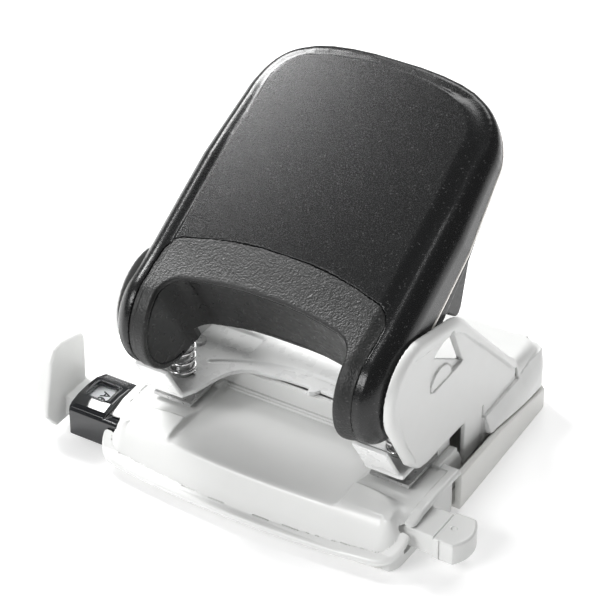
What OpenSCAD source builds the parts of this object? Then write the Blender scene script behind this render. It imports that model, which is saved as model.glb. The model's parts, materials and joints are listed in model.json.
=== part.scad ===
// Two-hole paper punch with a sprung press handle and a sliding paper guide.
// Origin: on the table, below the middle of the line between the two punch pins.
// +X runs to the right along the paper edge, +Y to the back, +Z up.

/* [Paper and holes] */
// Distance between the two punched holes
hole_pitch = 80; // [76:1:82]
// Diameter of a punched hole
hole_d = 5.5; // [5:0.1:6]
// Distance from the hole centres to the paper edge
edge_distance = 12; // [11.5:0.1:12.5]
// Long side of the smallest paper format the guide stops
smallest_format = 148; // [146:1:152]
// Clear height of the paper slot
slot_h = 4.6; // [4.4:0.1:4.8]

/* [Base] */
// Overall width across the rim of the paper table
table_w = 111; // [110:0.5:113]
// How far the table reaches in front of the pins
table_front = 33.5; // [32:0.5:36]
// Back face of the housing, behind the pins
rear_y = 78; // [77:0.5:79]
// Height of the die plate's upper face
die_top_z = 19; // [18.75:0.05:19.25]

/* [Handle] */
// Slope of the handle when it is up
handle_tilt = 30; // [28:1:30]
// Width across the handle
handle_w = 93; // [91:0.5:93]
// Length of the handle beyond its pivot
handle_reach = 98.4; // [96:0.2:98.6]
// Radius of the round legs about the pivot
drum_r = 18.7; // [18:0.1:18.8]
// Wall thickness of the handle mouldings
wall = 2.2; // [1.8:0.1:2.4]

/* [Frame] */
// Width across the cheeks
cheek_w = 100; // [99:0.5:101]
// Thickness of a cheek
cheek_t = 2.9; // [2.5:0.1:3]
// Thickness of the guide plate and its lips
plate_t = 1.6; // [1.2:0.1:1.6]

/* [Hidden] */
$fn = 64;

pin_x = hole_pitch / 2;
pin_r = hole_d / 2;
slot_top = die_top_z + slot_h;
plate_top = slot_top + plate_t;
die_t = 1.2;
die_half = 6.9;
die_front = -6.5;

// Handle pivot, in the Y-Z plane
pivot_y = -12;
pivot_z = 57.4;
// The presser swings evenly above and below the pivot's level
presser_r = 12.19;
presser_a = 17.5;
presser_pin_r = 3.3;
presser_y = pivot_y + presser_r * cos(presser_a);
presser_z = pivot_z + presser_r * sin(presser_a);
head_gap = 0.3;
head_top = presser_z - presser_pin_r - head_gap;
head_t = 2.2;
collar_t = 1;

hinge_y = 75;
hinge_z = 6.5;
hinge_r = 1.5;

cheek_x = cheek_w / 2;
cheek_in = cheek_x - cheek_t;
leg_out = handle_w / 2;
leg_in = 33;
leg_wall = 1.6;
side_wall = 1.4;

rail_y = -11;
rail_w = 13.2;
rail_z0 = 5.8;
rail_h = 7.3;
rail_gap = 0.3;
fence_x = -smallest_format / 2;
block_x0 = -70;
block_x1 = -50;

// ---- helpers ----

// Points of an arc, from angle a0 to a1
function arc(cy, cz, r, a0, a1, n = 12) =
    [for (i = [0 : n]) let (a = a0 + (a1 - a0) * i / n) [cy + r * cos(a), cz + r * sin(a)]];

// An outline in the Y-Z plane, swept from x0 to x1
module side_prism(pts, x0, x1) {
    translate([x0, 0, 0])
        rotate([90, 0, 90])
            linear_extrude(x1 - x0)
                polygon(pts);
}

// A rod along X
module x_rod(y, z, r, x0, x1) {
    translate([x0, y, z])
        rotate([0, 90, 0])
            cylinder(r = r, h = x1 - x0);
}

// A block given by its two corners
module block(x0, y0, z0, x1, y1, z1) {
    translate([x0, y0, z0])
        cube([x1 - x0, y1 - y0, z1 - z0]);
}

// The same thing on both sides of X = 0
module both_sides() {
    children();
    mirror([1, 0, 0]) children();
}

// The handle's own frame: Y along the handle, Z away from it, origin on the pivot
module handle_frame() {
    translate([0, pivot_y, pivot_z])
        rotate([handle_tilt, 0, 0])
            children();
}

// ---- base ----

// Outline of the table seen from above, inset by d
module table_outline(d = 0) {
    x = table_w / 2 - d;
    corner = 9.4;
    cx = table_w / 2 - corner;
    cy = -21.1;
    r = corner - d;
    bow_r = 350;
    bow_y = -table_front + d + bow_r;
    back = 11.8 - d;
    side = [for (a = [0 : -10 : -80]) [cx + r * cos(a), cy + r * sin(a)]];
    front_half = asin((cx + r * cos(80)) / bow_r);
    front = [for (i = [-6 : 6])
        let (a = front_half * i / 6) [-bow_r * sin(a), bow_y - bow_r * cos(a)]];
    left = [for (p = side) [-p[0], p[1]]];
    n = len(side) - 1;
    polygon(concat([[x, back]], side, front, [for (i = [0 : n]) left[n - i]], [[-x, back]]));
}

// Outline of the tray's rear band seen from above, inset by d
module band_outline(d = 0) {
    front_x = 55.2 - d;
    back_x = 52.9 - d;
    y0 = 12.2;
    y1 = 79 - d;
    r = 7 - d;
    right = concat([[front_x, y0]], arc(back_x - r, y1 - r, r, 0, 90, 8));
    n = len(right) - 1;
    polygon(concat(right, [for (i = [0 : n]) [-right[n - i][0], right[n - i][1]]]));
}

module chip_tray() {
    floor_t = 2;
    band_wall = 1.9;
    front_x = 50.5;
    band_top = [[0, -1], [0, 13.8], [14.5, 13.6], [40, 12.6], [73.6, 8.4], [76, 6.2], [80, 6.2],
        [80, -1]];
    color("whitesmoke") difference() {
        union() {
            // floor under the table
            block(-front_x, -20, 0, front_x, 14, floor_t);
            intersection() {
                linear_extrude(floor_t) table_outline(4.5);
                block(-60, -27, 0, 60, 0, floor_t);
            }
            // low lip that keeps the chips in
            difference() {
                block(-49.4, -5.2, 0, 49.4, 14, 4.8);
                block(-47.8, -3.6, floor_t, 47.8, 20, 9);
            }
            // rear band with its floor
            intersection() {
                difference() {
                    linear_extrude(20) band_outline();
                    translate([0, 0, floor_t]) linear_extrude(20) band_outline(band_wall);
                    block(-front_x + 1.6, 10, floor_t, front_x - 1.6, 16, 20);
                }
                side_prism(band_top, -60, 60);
            }
            // knuckles of the rear hinge
            both_sides() intersection() {
                block(45, 71.5, 0, 49.4, 77.3, 9.6);
                union() {
                    x_rod(hinge_y, hinge_z, 3, 45, 50);
                    block(45, hinge_y - 3, 0, 50, hinge_y + 2.3, hinge_z);
                }
            }
        }
        // the housing's back wall drops in here
        block(-45, 76.4, floor_t, 45, 90, 30);
        // bores that hold the hinge rod
        x_rod(hinge_y, hinge_z, hinge_r, -49, 49);
        // pockets for the grip pads
        pad_places() pad(0.1);
    }
}

// The four places where a grip pad sits
module pad_places() {
    for (x = [-38, 38], y = [-18, 62]) {
        translate([x, y, 0]) children();
    }
}

module pad(extra = 0) {
    pad_t = 1.2;
    translate([0, 0, -extra])
        linear_extrude(pad_t + extra)
            union() {
                square([14, 8], center = true);
                translate([7, 0]) circle(r = 4);
                translate([-7, 0]) circle(r = 4);
            }
}

module grip_pads() {
    color("dimgray") pad_places() pad();
}

module tray_hinge_rod() {
    color("silver") x_rod(hinge_y, hinge_z, hinge_r, -49, 49);
}

// ---- paper table ----

// Lower edge of the table's rim along the sides
rim_low = [[-60, 3.6], [-31, 3.6], [-27, 5], [-23, 8.2], [-18, 12], [-12, 13.9], [-4, 14.3], [20, 14.3]];

rib_y = -2.6;

module front_apron() {
    rim_t = 3;
    edge = [for (p = rim_low) [p[0], p[1] + rim_t]];
    n = len(rim_low) - 1;
    rim_band = concat(rim_low, [for (i = [0 : n]) edge[n - i]]);
    seat_z = die_top_z - die_t;
    top = [[-31.5, 6.4], [-29.5, 8.6], [-26, 14.8], [-24.3, 16.2], [-21.5, 17.1], [-17, 17.6],
        [-9, die_top_z], [11.8, die_top_z]];
    skin = concat([[-31.5, 3.6]], top, [[11.8, 0.6], [-26, 0.6], [-27, 3.6]]);
    side_end = [[8, 10], [11.8, seat_z], [17.5, 17.2], [21, 15.2], [22.8, 11.5], [22.8, 2.6], [14.6, 2.6],
        [14.6, 5.6], [8, 5.6]];
    shelf_z = 16;
    roof_z = 14;
    hollow = [[-29.6, -1], [-29.6, 5.4], [-25, 12.8], [-22.5, 13.8], [-20, roof_z], [30, roof_z],
        [30, -1]];
    dish_r = 148;
    dish_low = 14.9;
    color("whitesmoke") difference() {
        union() {
            table_shell(skin, hollow, rim_band);
            // shelf under the paper stop
            block(-49.6, 8, shelf_z, 49.6, 19.6, seat_z);
            // side ends that run back beside the paper stop
            both_sides() side_prism(side_end, 47.3, 49.6);
            // rib behind the guide rail
            block(-50, rib_y, 5.6, 50, rib_y + 1, roof_z + 0.4);
        }
        // open at the back, so the chips can spread into the tray
        block(-47.3, 7, -1, 47.3, 12, roof_z);
        block(-51.4, 7, -1, 51.4, 12, 5.6);
        // pockets that leave the die plates flush with the table
        both_sides() translate([pin_x, 0, 0])
            block(-die_half - 0.05, die_front - 0.05, seat_z, die_half + 0.05, 20, 40);
        // dished middle of the table, with two small steps at its back
        side_prism(concat([[-24.8, 30]], arc(-5, dish_low + dish_r, dish_r, 262.3, 270, 6),
            [[6, dish_low], [11, 15.5], [11, 16.4], [11.5, 16.4], [11.5, 17.2], [12, 17.2], [12, 30]]),
            -31.5, 31.5);
        // way out for the guide rail on the right
        block(40, -20.2, 4.4, 60, rib_y, 13.9);
        // way in for the window block on the left
        block(-60, -22.4, 2.2, -48, 0.4, 13.7);
        // room for the punched discs to fall
        both_sides() translate([pin_x, 0, 0]) cylinder(r = pin_r + 0.8, h = 40);
        screw_places() cylinder(r = 1.2, h = 60, center = true);
    }
}

// The table's skin with its rim, hollow below
module table_shell(skin, hollow, rim_band) {
    difference() {
        union() {
            intersection() {
                side_prism(skin, -49.6, 49.6);
                linear_extrude(30) table_outline(2.2);
            }
            // rounded shoulder between the table and its rim
            intersection() {
                side_prism([for (p = skin) [p[0], min(p[1], 16.6)]], -53.4, 53.4);
                linear_extrude(30) table_outline(2.2);
            }
            intersection() {
                side_prism(rim_band, -60, 60);
                linear_extrude(30) table_outline();
            }
        }
        intersection() {
            side_prism(hollow, -51.4, 51.4);
            linear_extrude(60, center = true) table_outline(4);
        }
    }
}

// Screws that pull the table, die plate and guide plate together
module screw_places() {
    for (x = [-44.5, 44.5]) {
        translate([x, 16.5, 0]) children();
    }
}

// Steel plate with the die hole under one punch pin
module die_plate(x) {
    translate([x, 0, 0]) difference() {
        block(-die_half, die_front, die_top_z - die_t, die_half, edge_distance - 0.1, die_top_z);
        cylinder(r = pin_r + 0.1, h = 60);
    }
}

module left_die_plate() {
    color("lightgray") die_plate(-pin_x);
}

module right_die_plate() {
    color("lightgray") die_plate(pin_x);
}

// Bar that the paper's edge is pushed against
module paper_stop() {
    foot = die_top_z - die_t;
    color("whitesmoke") difference() {
        union() {
            block(-46.8, edge_distance, foot, 46.8, edge_distance + 7.4, slot_top);
        }
        block(-38, edge_distance + 1.8, foot + 1.5, 38, 30, 30);
        screw_places() cylinder(r = 1.2, h = 60, center = true);
    }
}

// ---- frame ----

lip_top = [-17.7, 39];
lip_dir = [0.5136, -0.858];
lip_len = 16.8;

// Half of the guide plate's outline: the deep arch at its front edge
arch_edge = [[33.2, -10.2], [31, -6], [29.6, 0], [28.3, 4.6], [26.4, 8.4], [23.6, 11], [19, 12.6],
    [10, 14], [3, 14.4]];

module guide_plate() {
    x = cheek_in;
    n = len(arch_edge) - 1;
    pointer = [[2.6, 14.4], [0.4, 11.2], [-0.4, 11.2], [-0.8, 14.4]];
    outline = concat([[x, 34.2], [x, -10.2]], arch_edge, pointer,
        [for (i = [0 : n]) [-arch_edge[n - i][0], arch_edge[n - i][1]]], [[-x, -10.2], [-x, 34.2]]);
    back = plate_t * [-lip_dir[1], lip_dir[0]];
    foot = lip_top + lip_len * lip_dir;
    lip = [lip_top, foot, foot - 0.9 * back, lip_top - back];
    color("whitesmoke") difference() {
        union() {
            translate([0, 0, slot_top]) linear_extrude(plate_t) polygon(outline);
            both_sides() side_prism(lip, leg_in + 0.5, 45.5);
        }
        both_sides() translate([pin_x, 0, 0]) cylinder(r = 3.4, h = 60);
        // pressed groove that follows the arch
        intersection() {
            difference() {
                translate([0, -43.4, plate_top - 0.5]) cylinder(r = 64.3, h = 2, $fn = 128);
                translate([0, -43.4, 0]) cylinder(r = 62.7, h = 60, $fn = 128);
            }
            block(-35.6, 4, 20, 35.6, 40, 40);
        }
        screw_places() cylinder(r = 1.6, h = 60, center = true);
    }
}

// Side outline of a cheek with its foot
cheek_outline = concat(
    arc(-8, 57.2, 16.3, 205, 86, 16),
    arc(8, 48, 22, 80, 44, 6),
    [[55.3, 30.8], [60, 26.6], [60, 10], [24.4, 8], [24.4, 23.4], [1, 23.4], [-4.4, 24.6],
        [-11.1, 30.4]]);

module housing() {
    roof_t = 2;
    roof_z = plate_top + 0.6;
    x = cheek_x;
    rear_r = 5;
    opening = [[12.3, 66.2], [20.9, 50.6], [3.4, 49.2], [0.6, 50.4], [0.2, 54], [1.6, 62.4]];
    skirt = [[24.4, 8], [24.4, roof_z - 1.5], [25.9, roof_z], [rear_y - 3, roof_z],
        [rear_y - 0.9, roof_z - 0.9], [rear_y, roof_z - 3], [rear_y, 9.6], [60, 10]];
    wall_t = 2;
    color("white") difference() {
        union() {
            both_sides() side_prism(cheek_outline, cheek_in, x);
            // low rear body
            intersection() {
                side_prism(skirt, -x, x);
                linear_extrude(60) hull() {
                    translate([-x, 20]) square([2 * x, 10]);
                    translate([x - rear_r, rear_y - rear_r]) circle(r = rear_r, $fn = 32);
                    translate([rear_r - x, rear_y - rear_r]) circle(r = rear_r, $fn = 32);
                }
            }
            // ledge low on each side
            both_sides() side_prism([[37, 13.4], [37, 19], [39, 21], [62, 20], [70, 16], [70, 9.4]],
                x - 1, x + 1.8);
            // back wall that drops into the tray
            block(-42.8, rear_y - 1.2, 5.5, 42.8, rear_y, 12);
            // hinge ears
            both_sides() {
                x_rod(hinge_y, hinge_z, 3, 40.6, 44.6);
                block(40.6, hinge_y - 3, hinge_z, 44.6, hinge_y + 1.2, roof_z - 1);
            }
        }
        // hollow of the rear body
        difference() {
            block(-x + wall_t, 20, 0, x - wall_t, rear_y - wall_t, roof_z - roof_t);
            both_sides() block(40.6, hinge_y - 3, -1, 44.6, hinge_y + 3, 40);
        }
        // space between the cheeks, in front of the roof
        block(-cheek_in, -40, 0, cheek_in, 34.2, 80);
        both_sides() {
            side_prism(opening, cheek_in - 1, x + 1);
            x_rod(pivot_y, pivot_z, 3, cheek_in - 1, x - 1);
            x_rod(28, 36, 3, cheek_in - 1, x - 1);
            x_rod(hinge_y, hinge_z, hinge_r + 0.05, 30, x - 5);
        }
        // clearance around the tray's knuckles
        both_sides() block(45, 70, 0, x + 1, 77.6, 9.8);
    }
}

module cross_tie() {
    color("white") x_rod(28, 36, 3, -cheek_in - 1.6, cheek_in + 1.6);
}

module pin_guide_bushes() {
    color("silver") both_sides() translate([pin_x, 0, slot_top]) difference() {
        cylinder(r = 3.4, h = 4.4);
        translate([0, 0, -1]) cylinder(r = pin_r + 0.05, h = 10);
    }
}

module pivot_pins() {
    color("silver") both_sides() x_rod(pivot_y, pivot_z, 3, 36, cheek_x - 1.2);
}

module frame_screws() {
    color("silver") screw_places() {
        translate([0, 0, 12]) cylinder(r = 1.2, h = plate_top - 12);
        translate([0, 0, plate_top]) cylinder(r = 2.4, h = 1.2);
    }
}

// ---- paper guide ----

block_y0 = -22;
block_y1 = 0;

module window_block() {
    crown = [[block_y0, 3], [block_y0, 12.2], [block_y0 + 2, 14.6], [-16, 15.6], [-11, 15.9],
        [-6, 15.6], [block_y1 - 1.4, 14], [block_y1, 12.4], [block_y1, 3]];
    low = [[-30, 2], [-30, 13.3], [10, 13.3], [10, 2]];
    color("black") difference() {
        union() {
            side_prism(crown, block_x0, -56.2);
            intersection() {
                side_prism(crown, -56.2, block_x1);
                side_prism(low, -60, -40);
            }
        }
        block(-80, rail_y - rail_w / 2 - rail_gap, rail_z0 - rail_gap,
            -40, rail_y + rail_w / 2 + rail_gap, rail_z0 + rail_h + rail_gap);
        // the window
        block(-67.4, rail_y - 4.6, 10, -58.6, rail_y + 4.6, 30);
        // ribs beside the window
        for (y = [-4.6, -3.2]) block(-68.4, y, 14.6, -58, y + 0.5, 20);
    }
}

module window_lens() {
    color([0.9, 0.95, 1, 0.35])
        block(-67.4, rail_y - 4.6, 14, -58.6, rail_y + 4.6, 15.2);
}

detent_x = -35;
// How far the guide slides out for each larger format
format_steps = [0, 31, 66, 74.5, 91];

module guide_rail() {
    y0 = rail_y - rail_w / 2;
    y1 = rail_y + rail_w / 2;
    z1 = rail_z0 + rail_h;
    fence = [[-27.6, 14], [-27.9, 10.5], [-22.6, 4.2], [-6.4, 4.2], [-5.4, 8], [-5.2, 29.6],
        [-6.4, 31.4], [-9, 32.6], [-17.6, 34.6], [-21.5, 33.6], [-24, 30]];
    color("white") difference() {
        union() {
            block(fence_x - 1, y0, rail_z0, 62, y1, z1);
            side_prism(fence, fence_x - 5.6, fence_x);
        }
        // recess for the format strip
        block(fence_x + 3, rail_y - 4.4, z1 - 0.4, 40, rail_y + 4.4, z1 + 1);
        // a notch for each format
        for (s = format_steps) {
            rail_notch(detent_x + s);
        }
    }
}

// Upright groove in the back face of the rail
module rail_notch(x) {
    translate([x, rail_y + rail_w / 2 + 0.5, 0]) cylinder(r = 1.2, h = 40);
}

module rail_end_tab() {
    y = rail_y;
    color("white") translate([0, 0, rail_z0 - 0.4]) linear_extrude(rail_h + 0.6) union() {
        translate([62, y - 7.6]) square([5, 15.2]);
        intersection() {
            translate([60.6, y]) circle(r = 11.4, $fn = 96);
            translate([66, y - 7.6]) square([20, 15.2]);
        }
    }
}

module format_strip() {
    z = rail_z0 + rail_h - 0.4;
    color("ivory") block(fence_x + 3, rail_y - 4.4, z, 40, rail_y + 4.4, z + 0.4);
}

// Leaf spring between the rib and the rail; its bump is drawn pressed back
module rail_detent_spring() {
    half = 12;
    leaf_t = 0.35;
    bump_r = 0.9;
    color("silver") union() {
        block(detent_x - half, rib_y - leaf_t, 7, detent_x + half, rib_y, 12);
        intersection() {
            translate([detent_x, rail_y + rail_w / 2 + 0.1 + bump_r, 7]) cylinder(r = bump_r, h = 5);
            block(detent_x - 2, rib_y - 3, 7, detent_x + 2, rib_y, 12);
        }
    }
}

// ---- punch pins ----

module punch_pin(x) {
    translate([x, 0, 0]) union() {
        translate([0, 0, slot_top + 0.3]) cylinder(r = pin_r, h = head_top - slot_top - 0.3);
        translate([0, 0, head_top - head_t]) cylinder(r = 3.8, h = head_t);
    }
}

module pin_collar(x) {
    translate([x, 0, head_top - head_t - collar_t]) difference() {
        cylinder(r = 4.9, h = collar_t);
        translate([0, 0, -1]) cylinder(r = pin_r, h = 5);
    }
}

// Return spring: a round wire swept along a helix
spring_turns = 7;
spring_steps = 12;
spring_sides = 6;
spring_wire = 0.6;
spring_r = 4.2;

module return_spring(x) {
    z0 = plate_top + 0.1;
    z1 = head_top - head_t - collar_t - 0.1;
    n = spring_turns * spring_steps;
    rise = z1 - z0 - 2 * spring_wire;
    m = spring_sides;
    points = [for (i = [0 : n]) for (j = [0 : m - 1])
        let (a = 360 * i / spring_steps, b = 360 * j / m, r = spring_r + spring_wire * cos(b))
        [r * cos(a), r * sin(a), z0 + spring_wire + rise * i / n + spring_wire * sin(b)]];
    sides = [for (i = [0 : n - 1]) for (j = [0 : m - 1])
        let (k = (j + 1) % m) [i * m + j, (i + 1) * m + j, (i + 1) * m + k, i * m + k]];
    first = [for (j = [0 : m - 1]) j];
    last = [for (j = [0 : m - 1]) n * m + m - 1 - j];
    color("silver") translate([x, 0, 0])
        polyhedron(points = points, faces = concat(sides, [first, last]), convexity = 10);
}

module left_punch_pin() {
    color("silver") punch_pin(-pin_x);
}

module right_punch_pin() {
    color("silver") punch_pin(pin_x);
}

module left_pin_collar() {
    color("gray") pin_collar(-pin_x);
}

module right_pin_collar() {
    color("gray") pin_collar(pin_x);
}

module left_return_spring() {
    return_spring(-pin_x);
}

module right_return_spring() {
    return_spring(pin_x);
}

// ---- handle, drawn in its own frame ----

// Parting line between the upper shell and the trim, along the handle
part_line = [[20, 2], [52, 4.2], [78, 7], [86, 9.4], [110, 10]];

// Outline of the handle seen along its own Z, inset by d
module handle_outline(d = 0) {
    x = leg_out - d;
    end = handle_reach - d;
    corner = 23 - d;
    far_x = leg_out - 2 - d;
    right = concat([[x, -40], [x, 48]], arc(far_x - corner, end - 2.4 - corner, corner, 0, 62, 8),
        [[16, end - 0.6]]);
    n = len(right) - 1;
    polygon(concat(right, [for (i = [0 : n]) [-right[n - i][0], right[n - i][1]]]));
}

// Side outline of the handle: round leg, flat top, rounded far end; inset by d, open below
function handle_profile(d) = concat(
    arc(0, 0, drum_r - d, 270, 90, 24),
    arc(handle_reach - 5, drum_r - 5, 5 - d, 90, 0, 6),
    [[handle_reach - 2 * d, -40 - d], [0, -40 - d]]);

// Everything above the parting line, and the front of the leg
upper_zone = concat([[-40, -40], [-13.7, -37.6], [-2, -6], [5, -6], [14, -1.5]], part_line,
    [[110, 40], [-40, 40]]);

module handle_skin() {
    intersection() {
        difference() {
            intersection() {
                side_prism(handle_profile(0), -leg_out, leg_out);
                translate([0, 0, -40]) linear_extrude(80) handle_outline();
            }
            intersection() {
                side_prism(handle_profile(wall), -leg_out + side_wall, leg_out - side_wall);
                translate([0, 0, -40]) linear_extrude(80) handle_outline(side_wall);
            }
        }
        side_prism(upper_zone, -60, 60);
    }
}

arch_front = 7.4;

// The arch between the legs, grown by d
module leg_arch(d = 0) {
    x = leg_in + d;
    r = 9 + d;
    front = arch_front + d;
    translate([0, 0, -40]) linear_extrude(80) union() {
        translate([-x, -60]) square([2 * x, 60 + front - r]);
        translate([r - x, -20]) square([2 * (x - r), front + 20]);
        translate([x - r, front - r]) circle(r = r);
        translate([r - x, front - r]) circle(r = r);
    }
}

// The strip over the legs and the arch that carries the grip texture
module band_zone() {
    band_x = 39.4;
    r = 9;
    y1 = 20.6;
    translate([0, 0, -40]) linear_extrude(80) union() {
        translate([-band_x, -60]) square([2 * band_x, 60 + 17 - r]);
        translate([band_x - r, 17 - r]) circle(r = r);
        translate([r - band_x, 17 - r]) circle(r = r);
        intersection() {
            translate([0, 22.6 - 120]) circle(r = 120, $fn = 180);
            translate([r - band_x, 0]) square([2 * (band_x - r), y1 + 3]);
        }
    }
}

handle_screw_r = 1.4;
// Upper edge of the levers' webs
lever_top = drum_r - wall - 2.6;

// The four places where the handle's shells are screwed together, above the parting line
module handle_screw_places() {
    for (x = [-30, 30], u = [34, 76]) {
        translate([x, u, lookup(u, part_line) - 1.6]) children();
    }
}

module handle_top_shell() {
    color("#1c1d1f") handle_frame() difference() {
        union() {
            handle_skin();
            handle_screw_places() cylinder(r = 3.2, h = drum_r - wall + 0.5);
            // ribs that rest on the levers
            both_sides() block(pin_x - 2, 18, lever_top, pin_x + 2, 28, drum_r - wall + 0.5);
        }
        handle_screw_places() translate([0, 0, -10]) cylinder(r = handle_screw_r, h = 20);
        leg_arch();
        band_zone();
        both_sides() x_rod(0, 0, 3.3, 30, 60);
    }
}

module grip_band() {
    color("#3b3d3f") handle_frame() difference() {
        intersection() {
            handle_skin();
            band_zone();
        }
        leg_arch();
    }
}

// Bright strip between the upper and the lower shell
module handle_trim() {
    strip_t = 1.6;
    n = len(part_line) - 1;
    strip = concat(part_line, [for (i = [0 : n]) part_line[n - i] - [0, strip_t]]);
    color("silver") handle_frame() difference() {
        intersection() {
            side_prism(strip, -60, 60);
            translate([0, 0, -40]) linear_extrude(80) handle_outline(0.3);
        }
        translate([0, 0, -40]) linear_extrude(80) handle_outline(1.9);
        block(-60, 0, -20, 60, 21, 20);
    }
}

module handle_lower_shell() {
    front = arch_front;
    back = front + leg_wall;
    skin_r = drum_r - wall - 0.05;
    foot_w = -12.3;
    line = [for (p = part_line) p - [0, 1.6]];
    under = concat([[back - 1, foot_w + 1.6]], line, [[110, 7.6], [86, 7], [78, 4.6], [52, 1.4],
        [22, -5.4], [back - 1, foot_w]]);
    tab = [[22, 0], [30, -3.8], [34, -12.6], [36, -14], [38.3, -12.8], [51.4, 0.2], [52, 2.4]];
    color("#141516") handle_frame() difference() {
        lower_shell_body(under, tab, skin_r, back, foot_w);
        handle_screw_places() {
            translate([0, 0, -20]) cylinder(r = handle_screw_r, h = 40);
            translate([0, 0, -23.4]) cylinder(r = 3, h = 20);
            cylinder(r = 3.2, h = 20);
        }
    }
}

module lower_shell_body(under, tab, skin_r, back, foot_w) {
    union() {
        // underside
        intersection() {
            side_prism(under, -44.9, 44.9);
            translate([0, 0, -40]) linear_extrude(80) handle_outline(2.1);
            union() {
                block(-34.4, 0, -40, 34.4, 40, 40);
                block(-60, 24, -40, 60, 120, 40);
            }
        }
        // wall across the back of the arch, running into the inner wall of each leg
        intersection() {
            difference() {
                leg_arch(leg_wall);
                leg_arch();
            }
            union() {
                side_prism(concat(arc(0, 0, skin_r, 90, 250, 20), [[0, foot_w], [back, foot_w],
                    [back, skin_r]]), -60, 60);
                both_sides() side_prism(concat([[0, 0]], arc(0, 0, drum_r - 0.3, 251, 299, 8),
                    [[back, 0]]), leg_in - 1, 60);
            }
        }
        // side tabs that reach down beside the cheeks
        both_sides() side_prism(tab, 43.2, 44.9);
    }
}

module lever(x) {
    a = presser_a - handle_tilt;
    pu = presser_r * cos(a);
    pw = presser_r * sin(a);
    half_t = 2.4;
    web = [[-2, 6.4], [5, 12], [13, lever_top], [30, lever_top], [26, 8],
        [pu + 3.4, pw + 1], [pu, pw - 1.1], [4, -2]];
    difference() {
        union() {
            x_rod(0, 0, 7, x - half_t, x + half_t);
            x_rod(pu, pw, 3.1, x - half_t, x + half_t);
            side_prism(web, x - half_t, x + half_t);
        }
        x_rod(0, 0, 3.05, x - 10, x + 10);
        x_rod(pu, pw, 2, x - 10, x + 10);
    }
}

module left_lever() {
    color("silver") handle_frame() lever(-pin_x);
}

module right_lever() {
    color("silver") handle_frame() lever(pin_x);
}

// Rolled pad that presses on the head of a punch pin
module presser_pin(x) {
    half = 3.9;
    color("gray") union() {
        x_rod(presser_y, presser_z, 2, x - half, x + half);
        x_rod(presser_y, presser_z, presser_pin_r, x - half, x - 2.5);
        x_rod(presser_y, presser_z, presser_pin_r, x + 2.5, x + half);
    }
}

module left_presser_pin() {
    presser_pin(-pin_x);
}

module right_presser_pin() {
    presser_pin(pin_x);
}

module handle_screws() {
    head_t = 1.4;
    color("gray") handle_frame() handle_screw_places() {
        translate([0, 0, -3.4]) cylinder(r = handle_screw_r, h = 10);
        translate([0, 0, -3.4 - head_t]) cylinder(r = 2.6, h = head_t);
    }
}

chip_tray();
grip_pads();
tray_hinge_rod();
front_apron();
left_die_plate();
right_die_plate();
paper_stop();
guide_plate();
housing();
cross_tie();
pin_guide_bushes();
pivot_pins();
window_block();
window_lens();
rail_detent_spring();
frame_screws();
left_return_spring();
right_return_spring();
guide_rail();
rail_end_tab();
format_strip();
handle_top_shell();
grip_band();
handle_trim();
handle_lower_shell();
left_lever();
right_lever();
left_presser_pin();
right_presser_pin();
handle_screws();
left_punch_pin();
left_pin_collar();
right_punch_pin();
right_pin_collar();
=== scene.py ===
"""Looks of a two-hole paper punch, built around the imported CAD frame.

The moulded parts are smooth fields: each is a signed distance in millimetres, built from the part's
outlines with rounded joins, and meshed where it crosses zero.
"""

import json
import math

import bmesh
import bpy
import numpy as np
from mathutils import Matrix, Vector

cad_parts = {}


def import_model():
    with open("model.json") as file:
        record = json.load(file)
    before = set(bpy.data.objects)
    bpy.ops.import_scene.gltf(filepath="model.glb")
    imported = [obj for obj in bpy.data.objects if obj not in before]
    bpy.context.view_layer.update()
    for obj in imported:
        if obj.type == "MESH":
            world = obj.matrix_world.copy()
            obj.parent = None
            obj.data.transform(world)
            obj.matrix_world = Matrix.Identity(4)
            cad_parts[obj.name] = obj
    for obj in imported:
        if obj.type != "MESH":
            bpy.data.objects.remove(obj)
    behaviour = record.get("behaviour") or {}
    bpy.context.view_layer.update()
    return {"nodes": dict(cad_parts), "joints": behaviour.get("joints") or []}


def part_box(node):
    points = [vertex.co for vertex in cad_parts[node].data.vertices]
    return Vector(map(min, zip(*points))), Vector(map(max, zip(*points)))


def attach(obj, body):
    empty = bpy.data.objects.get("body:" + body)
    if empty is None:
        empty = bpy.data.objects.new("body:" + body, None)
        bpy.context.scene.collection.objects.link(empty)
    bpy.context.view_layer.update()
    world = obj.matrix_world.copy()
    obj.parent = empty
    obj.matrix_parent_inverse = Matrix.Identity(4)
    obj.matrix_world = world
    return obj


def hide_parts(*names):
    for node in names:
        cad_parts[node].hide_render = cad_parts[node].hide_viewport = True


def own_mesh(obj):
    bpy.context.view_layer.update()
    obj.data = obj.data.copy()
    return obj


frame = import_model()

MM = 0.001

# ---- places and sizes that several parts share, in millimetres ----


def box_mm(node):
    """The low and high corner of a node of the frame."""
    low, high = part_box(node)
    return np.array(low) / MM, np.array(high) / MM


JOINTS = {j["name"]: j for j in frame["joints"]}
PIVOT_Y, PIVOT_Z = (v / MM for v in JOINTS["handle_press"]["pos_m"][1:])
HINGE_Y, HINGE_Z = (v / MM for v in JOINTS["tray_opening"]["pos_m"][1:])
TILT = math.radians(30)  # the handle at rest
DIE_LOW, DIE_HIGH = box_mm("right_die_plate")
PIN_X = (DIE_LOW[0] + DIE_HIGH[0]) / 2
DIE_TOP = DIE_HIGH[2]
SEAT_Z = DIE_LOW[2]
SLOT_TOP = box_mm("paper_stop")[1][2]
PLATE_T = 1.6
PLATE_TOP = SLOT_TOP + PLATE_T
CHEEK_IN = box_mm("guide_plate")[1][0]
CHEEK_OUT = CHEEK_IN + 2.9
HALF_W = box_mm("handle_top_shell")[1][0]
REACH = 98.4  # the handle's front edge, from its pivot
DRUM = 18.7  # the handle's height over its pivot, and its rounding behind it
WALL = 2.2
LEG_IN = 33.2  # the inner faces of its legs
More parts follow.
